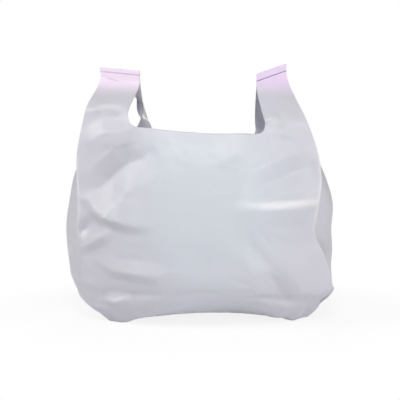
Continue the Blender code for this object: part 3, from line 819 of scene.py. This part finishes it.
def blown_film_material(finish, size):
    """Blown high-density polyethylene film, 18 microns: milky, crisp and softly shiny.

    It lets some light through, has faint lines along the way that it was blown, and fine
    dry crinkles between its folds. Its creases and folds carry a painted highlight. A weld presses it clear
    and squeezes a pale bead out.
    """
    material = bpy.data.materials.new("blown_hdpe_film")
    material.use_nodes = True
    tree = material.node_tree
    tree.nodes.clear()
    place = add_node(tree, "TexCoord").outputs["Object"]
    film = add_node(tree, "UVMap", uv_map="film").outputs[0]
    spot = add_node(tree, "SeparateXYZ", {"Vector": place})
    film_spot = add_node(tree, "SeparateXYZ", {"Vector": film})
    right = add_node(tree, "Math", {0: spot.outputs["X"], 1: 0.0}, operation="GREATER_THAN").outputs[0]

    # Dry crinkles: flat little faces about 14 mm across that meet in crisp lines.
    warp = add_node(tree, "TexNoise", {"Vector": mapped(tree, place, 0.020), "Scale": 1.0, "Detail": 1.0})
    bent = add_node(
        tree, "MixRGB",
        {"Fac": 0.5, "Color1": mapped(tree, place, 0.014), "Color2": warp.outputs["Color"]},
        blend_type="ADD",
    )
    facets = add_node(tree, "TexVoronoi", {"Vector": bent, "Scale": 1.0})
    facet_bump = add_node(
        tree, "Bump", {"Height": facets.outputs["Distance"], "Strength": 0.30, "Distance": 0.0010}
    )

    # Crumples: faces about 50 mm across with crisp ridges between them.
    crumple = add_node(
        tree, "TexNoise",
        {"Vector": mapped(tree, place, 0.055, (0.7, 1, 1.2)), "Scale": 1.0, "Detail": 1.5, "Roughness": 0.55},
    )
    from_ridge = add_node(tree, "Math", {0: crumple, 1: 0.5}, operation="SUBTRACT")
    ridges = add_node(tree, "Math", {0: from_ridge}, operation="ABSOLUTE")
    slack_bump = add_node(
        tree, "Bump",
        {"Height": ridges, "Strength": 1.0, "Distance": -0.0045, "Normal": facet_bump},
    )

    # Lines of the blowing, 2.5 mm apart so that they show. The real ones are finer.
    streaks = add_node(
        tree, "TexNoise", {"Vector": mapped(tree, film, 0.0025, (1, 0.02, 1)), "Scale": 1.0}
    )
    streak_bump = add_node(
        tree, "Bump",
        {"Height": streaks, "Strength": 0.2, "Distance": 0.0001, "Normal": slack_bump},
    )

    # Puckers that run into the handles' welds, about 3 mm apart.
    weld = size.base_skirt + size.wrap + size.mouth_height + size.fillet + size.handle_length
    off_weld = add_node(tree, "Math", {0: film_spot.outputs["Y"], 1: weld}, operation="SUBTRACT")
    from_weld = add_node(tree, "Math", {0: off_weld}, operation="ABSOLUTE")
    near_weld = add_node(
        tree, "MapRange",
        {"Value": from_weld, "From Max": 0.006, "To Min": 1.0, "To Max": 0.0},
    )
    puckers = add_node(
        tree, "TexNoise", {"Vector": mapped(tree, film, 0.003, (1, 0.25, 1)), "Scale": 1.0}
    )
    pucker_height = add_node(tree, "Math", {0: puckers, 1: near_weld}, operation="MULTIPLY")
    normal = add_node(
        tree, "Bump",
        {"Height": pucker_height, "Strength": 0.8, "Distance": 0.0010, "Normal": streak_bump},
    ).outputs[0]

    # Colour: paler and bluer where the front is blown out, and darker and more lilac towards the folds, the
    # bottom and the handles: the film's tint together with painted shade. Clouded everywhere.
    clouds = add_node(tree, "TexNoise", {"Vector": mapped(tree, place, 0.060), "Scale": 1.0})
    centre = add_node(tree, "VectorMath", {0: place, 1: (0.01, 0.0, 0.13)}, operation="SUBTRACT")
    round_centre = add_node(tree, "Mapping", {"Vector": centre, "Scale": (1.0, 0.0, 0.8)})
    out_from_centre = add_node(tree, "VectorMath", {0: round_centre}, operation="LENGTH")
    drift = add_node(
        tree, "Math", {0: clouds, 1: 0.06, 2: out_from_centre.outputs["Value"]},
        operation="MULTIPLY_ADD",
    )
    # Share of the darker lilac colour, which is partly painted shade.
    lilac_shade_share = add_node(
        tree, "MapRange",
        {"Value": drift, "From Min": 0.06, "From Max": 0.15}, interpolation_type="SMOOTHSTEP",
    )
    base = add_node(
        tree, "MixRGB",
        {"Fac": lilac_shade_share, "Color1": linear(finish.film), "Color2": linear(finish.haze)},
    )
    tint = add_node(
        tree, "MixRGB",
        {"Fac": right, "Color1": linear(finish.left_tint), "Color2": linear(finish.right_tint)},
    )
    tint_start = size.handle_height - 0.024
    high = add_node(
        tree, "MapRange",
        {"Value": spot.outputs["Z"], "From Min": tint_start, "From Max": tint_start + 0.020},
        interpolation_type="SMOOTHSTEP",
    )
    tinted = add_node(tree, "MixRGB", {"Fac": high, "Color1": base, "Color2": tint})

    # Painted highlight: the colour goes to white along the creases and the fold lines.
    highlight_marks = add_node(tree, "Attribute", attribute_name="whitened")
    tinted = add_node(
        tree, "MixRGB",
        {"Fac": highlight_marks.outputs["Fac"], "Color1": tinted, "Color2": linear(finish.whitened)},
    )

    # The welds: a clear pressed line with a pale bead under it. The left one sits higher.
    line_width = 0.0013
    line_start = add_node(
        tree, "MapRange",
        {"Value": right, "To Min": weld + size.left_weld, "To Max": weld},
    ).outputs[0]
    above_start = add_node(
        tree, "Math", {0: film_spot.outputs["Y"], 1: line_start}, operation="SUBTRACT"
    ).outputs[0]
    seal_colour = add_node(
        tree, "MixRGB",
        {"Fac": right, "Color1": linear(finish.left_seal), "Color2": linear(finish.right_seal)},
    )
    welded = add_node(
        tree, "MixRGB",
        {"Fac": band(tree, above_start, 0.0, line_width), "Color1": tinted, "Color2": seal_colour},
    )
    colour = add_node(
        tree, "MixRGB",
        {"Fac": band(tree, above_start, -line_width, 0.0), "Color1": welded, "Color2": linear(finish.bead)},
    ).outputs[0]

    rough = add_node(
        tree, "MapRange",
        {"Value": clouds, "From Min": 0.3, "From Max": 0.7, "To Min": 0.36, "To Max": 0.46},
    )
    shader = add_node(
        tree, "BsdfPrincipled",
        {"Base Color": colour, "Roughness": rough, "IOR": 1.54, "Normal": normal},
    )
    through = add_node(tree, "BsdfTranslucent", {"Color": colour, "Normal": normal})
    film_shader = add_node(tree, "MixShader", {0: finish.see_through, 1: shader, 2: through})
    add_node(tree, "OutputMaterial", {"Surface": film_shader})
    return material


class BuildCarrierBag(bpy.types.Operator):
    """Build the bag from its flat film and let the film settle into its folds"""

    bl_idname = "carrier_bag.build_bag"
    bl_label = "Build Bag"
    bl_options = {"REGISTER", "UNDO"}

    def execute(self, context):
        size = context.scene.carrier_bag_film
        mesh = film_mesh(size)
        data = bpy.data.meshes.new("film_bag")
        mesh.to_mesh(data)
        mesh.free()
        bag = bpy.data.objects.new("film_bag", data)
        context.scene.collection.objects.link(bag)
        self.centre(data)
        hold_film(bag, size)
        settle(bag, frames=24, growth=0.008, cap=0.0014)
        bag.vertex_groups.clear()
        refine(bag)
        add_creases(bag, size)
        raise_folds(bag, size)
        sharpen_folds(bag, size)
        data = bag.data
        data.materials.append(blown_film_material(context.scene.carrier_bag_finish, size))
        wall = bag.modifiers.new("thickness", "SOLIDIFY")
        wall.thickness = size.thickness
        wall.offset = -1
        wall.use_even_offset = False
        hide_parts(BAG_NODE)
        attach(bag, "root")
        return {"FINISHED"}

    def centre(self, data):
        """Puts the form where the solid is: the same middle in plan, and the feet on the floor."""
        spots = read_spots(data)
        middle = (spots.min(axis=0) + spots.max(axis=0)) / 2
        solid_middle = (SOLID_LOW + SOLID_HIGH) / 2
        spots[:, 0] += solid_middle.x - middle[0]
        spots[:, 1] += solid_middle.y - middle[1]
        spots[:, 2] += SOLID_LOW.z - spots[:, 2].min()
        write_spots(data, spots)


# Where each lamp stands: degrees to the right of the camera, and degrees up.
LAMPS = {
    "front": (0, 52), "fill": (-24, 14), "left": (-75, 35),
    "right": (75, 35), "low": (40, 12), "back": (180, 14),
}


def add_lamp(name, stage):
    right, up = (math.radians(angle) for angle in LAMPS[name])
    aim = Vector((0, 0, stage.aim_height))
    away = Vector((math.sin(right) * math.cos(up), -math.cos(right) * math.cos(up), math.sin(up)))
    lamp = bpy.data.lights.new(name + "_lamp", "AREA")
    lamp.energy = getattr(stage, name)
    lamp.shape = "DISK"
    lamp.size = stage.lamp_width
    item = bpy.data.objects.new(name + "_lamp", lamp)
    item.location = aim + away * stage.lamp_distance
    item.rotation_euler = away.to_track_quat("Z", "Y").to_euler()
    bpy.context.scene.collection.objects.link(item)


def white_where_seen(tree, shader, strength):
    """Adds plain white for what the camera, glass and gloss see, in the share given by strength."""
    path = add_node(tree, "LightPath")
    seen = add_node(
        tree, "Math", {0: path.outputs["Is Camera Ray"], 1: path.outputs["Is Glossy Ray"]},
        operation="MAXIMUM",
    )
    seen = add_node(
        tree, "Math", {0: seen, 1: path.outputs["Is Transmission Ray"]},
        operation="MAXIMUM",
    )
    share = add_node(tree, "Math", {0: seen, 1: strength}, operation="MULTIPLY")
    white = add_node(tree, "Emission", {"Color": (1, 1, 1, 1), "Strength": 1.0})
    return add_node(tree, "MixShader", {0: share, 1: shader, 2: white})


class BuildCarrierBagStage(bpy.types.Operator):
    """Build the floor, the lamps, the sky and the camera"""

    bl_idname = "carrier_bag.build_stage"
    bl_label = "Build Stage"
    bl_options = {"REGISTER", "UNDO"}

    def execute(self, context):
        stage = context.scene.carrier_bag_stage
        finish = context.scene.carrier_bag_finish
        self.add_floor(linear(finish.floor), linear(finish.bounce))
        for name in LAMPS:
            add_lamp(name, stage)
        self.add_sky(context.scene, stage.sky)
        self.add_camera(context.scene, stage)
        return {"FINISHED"}

    def add_floor(self, floor_colour, bounce):
        mesh = bmesh.new()
        bmesh.ops.create_grid(mesh, x_segments=1, y_segments=1, size=6.0)
        data = bpy.data.meshes.new("floor")
        mesh.to_mesh(data)
        mesh.free()
        material = bpy.data.materials.new("white_card_floor")
        material.use_nodes = True
        tree = material.node_tree
        tree.nodes.clear()
        path = add_node(tree, "LightPath")
        seen_colour = add_node(
            tree, "MixRGB",
            {"Fac": path.outputs["Is Camera Ray"], "Color1": bounce, "Color2": floor_colour},
        )
        card = add_node(tree, "BsdfDiffuse", {"Color": seen_colour})
        place = add_node(tree, "TexCoord")
        squeezed = add_node(
            tree, "Mapping", {"Vector": place.outputs["Object"], "Scale": (0.62, 1.0, 1.0)}
        )
        # Near the bag the floor is part card, so that it shows a faint shadow.
        away = add_node(tree, "VectorMath", {0: squeezed}, operation="LENGTH")
        share = add_node(
            tree, "MapRange",
            {"Value": away.outputs["Value"], "From Min": 0.10, "From Max": 0.20, "To Min": 0.84},
            interpolation_type="SMOOTHSTEP",
        )
        seen = white_where_seen(tree, card.outputs[0], share.outputs[0])
        add_node(tree, "OutputMaterial", {"Surface": seen})
        data.materials.append(material)
        floor = bpy.data.objects.new("floor", data)
        bpy.context.scene.collection.objects.link(floor)

    def add_sky(self, scene, strength):
        world = bpy.data.worlds.new("sky")
        world.use_nodes = True
        tree = world.node_tree
        tree.nodes.clear()
        soft = add_node(tree, "Background", {"Color": (1, 1, 1, 1), "Strength": strength})
        path = add_node(tree, "LightPath")
        seen = add_node(
            tree, "Math", {0: path.outputs["Is Camera Ray"], 1: path.outputs["Is Transmission Ray"]},
            operation="MAXIMUM",
        )
        white = add_node(tree, "Background", {"Color": (1, 1, 1, 1), "Strength": 1.0})
        both = add_node(tree, "MixShader", {0: seen, 1: soft, 2: white})
        add_node(tree, "OutputWorld", {"Surface": both})
        scene.world = world

    def add_camera(self, scene, stage):
        camera = bpy.data.cameras.new("camera")
        camera.lens = stage.lens
        camera.sensor_width = 36.0
        item = bpy.data.objects.new("camera", camera)
        beside = -0.001
        item.location = (beside, -stage.camera_distance, stage.camera_height)
        aim = Vector((beside, 0, stage.aim_height))
        item.rotation_euler = (aim - item.location).to_track_quat("-Z", "Y").to_euler()
        scene.collection.objects.link(item)
        scene.camera = item
        scene.view_settings.view_transform = "Standard"


class CarrierBagPanel(bpy.types.Panel):
    """Sizes and colours of the carrier bag"""

    bl_idname = "VIEW3D_PT_carrier_bag"
    bl_label = "Carrier Bag"
    bl_space_type = "VIEW_3D"
    bl_region_type = "UI"
    bl_category = "Carrier Bag"

    def draw(self, context):
        for name in ("carrier_bag_film", "carrier_bag_finish", "carrier_bag_stage"):
            group = getattr(context.scene, name)
            box = self.layout.box()
            for prop in group.bl_rna.properties:
                if prop.identifier in group.__annotations__:
                    box.prop(group, prop.identifier)
        self.layout.operator(BuildCarrierBag.bl_idname)
        self.layout.operator(BuildCarrierBagStage.bl_idname)


GROUPS = {
    "carrier_bag_film": CarrierBagFilm,
    "carrier_bag_finish": CarrierBagFinish,
    "carrier_bag_stage": CarrierBagStage,
}
CLASSES = (*GROUPS.values(), BuildCarrierBag, BuildCarrierBagStage, CarrierBagPanel)


def register():
    for cls in CLASSES:
        bpy.utils.register_class(cls)
    for name, group in GROUPS.items():
        setattr(bpy.types.Scene, name, bpy.props.PointerProperty(type=group))


def unregister():
    for name in GROUPS:
        delattr(bpy.types.Scene, name)
    for cls in reversed(CLASSES):
        bpy.utils.unregister_class(cls)


def main():
    register()
    bpy.ops.carrier_bag.build_bag()
    bpy.ops.carrier_bag.build_stage()


if __name__ == "__main__":
    main()
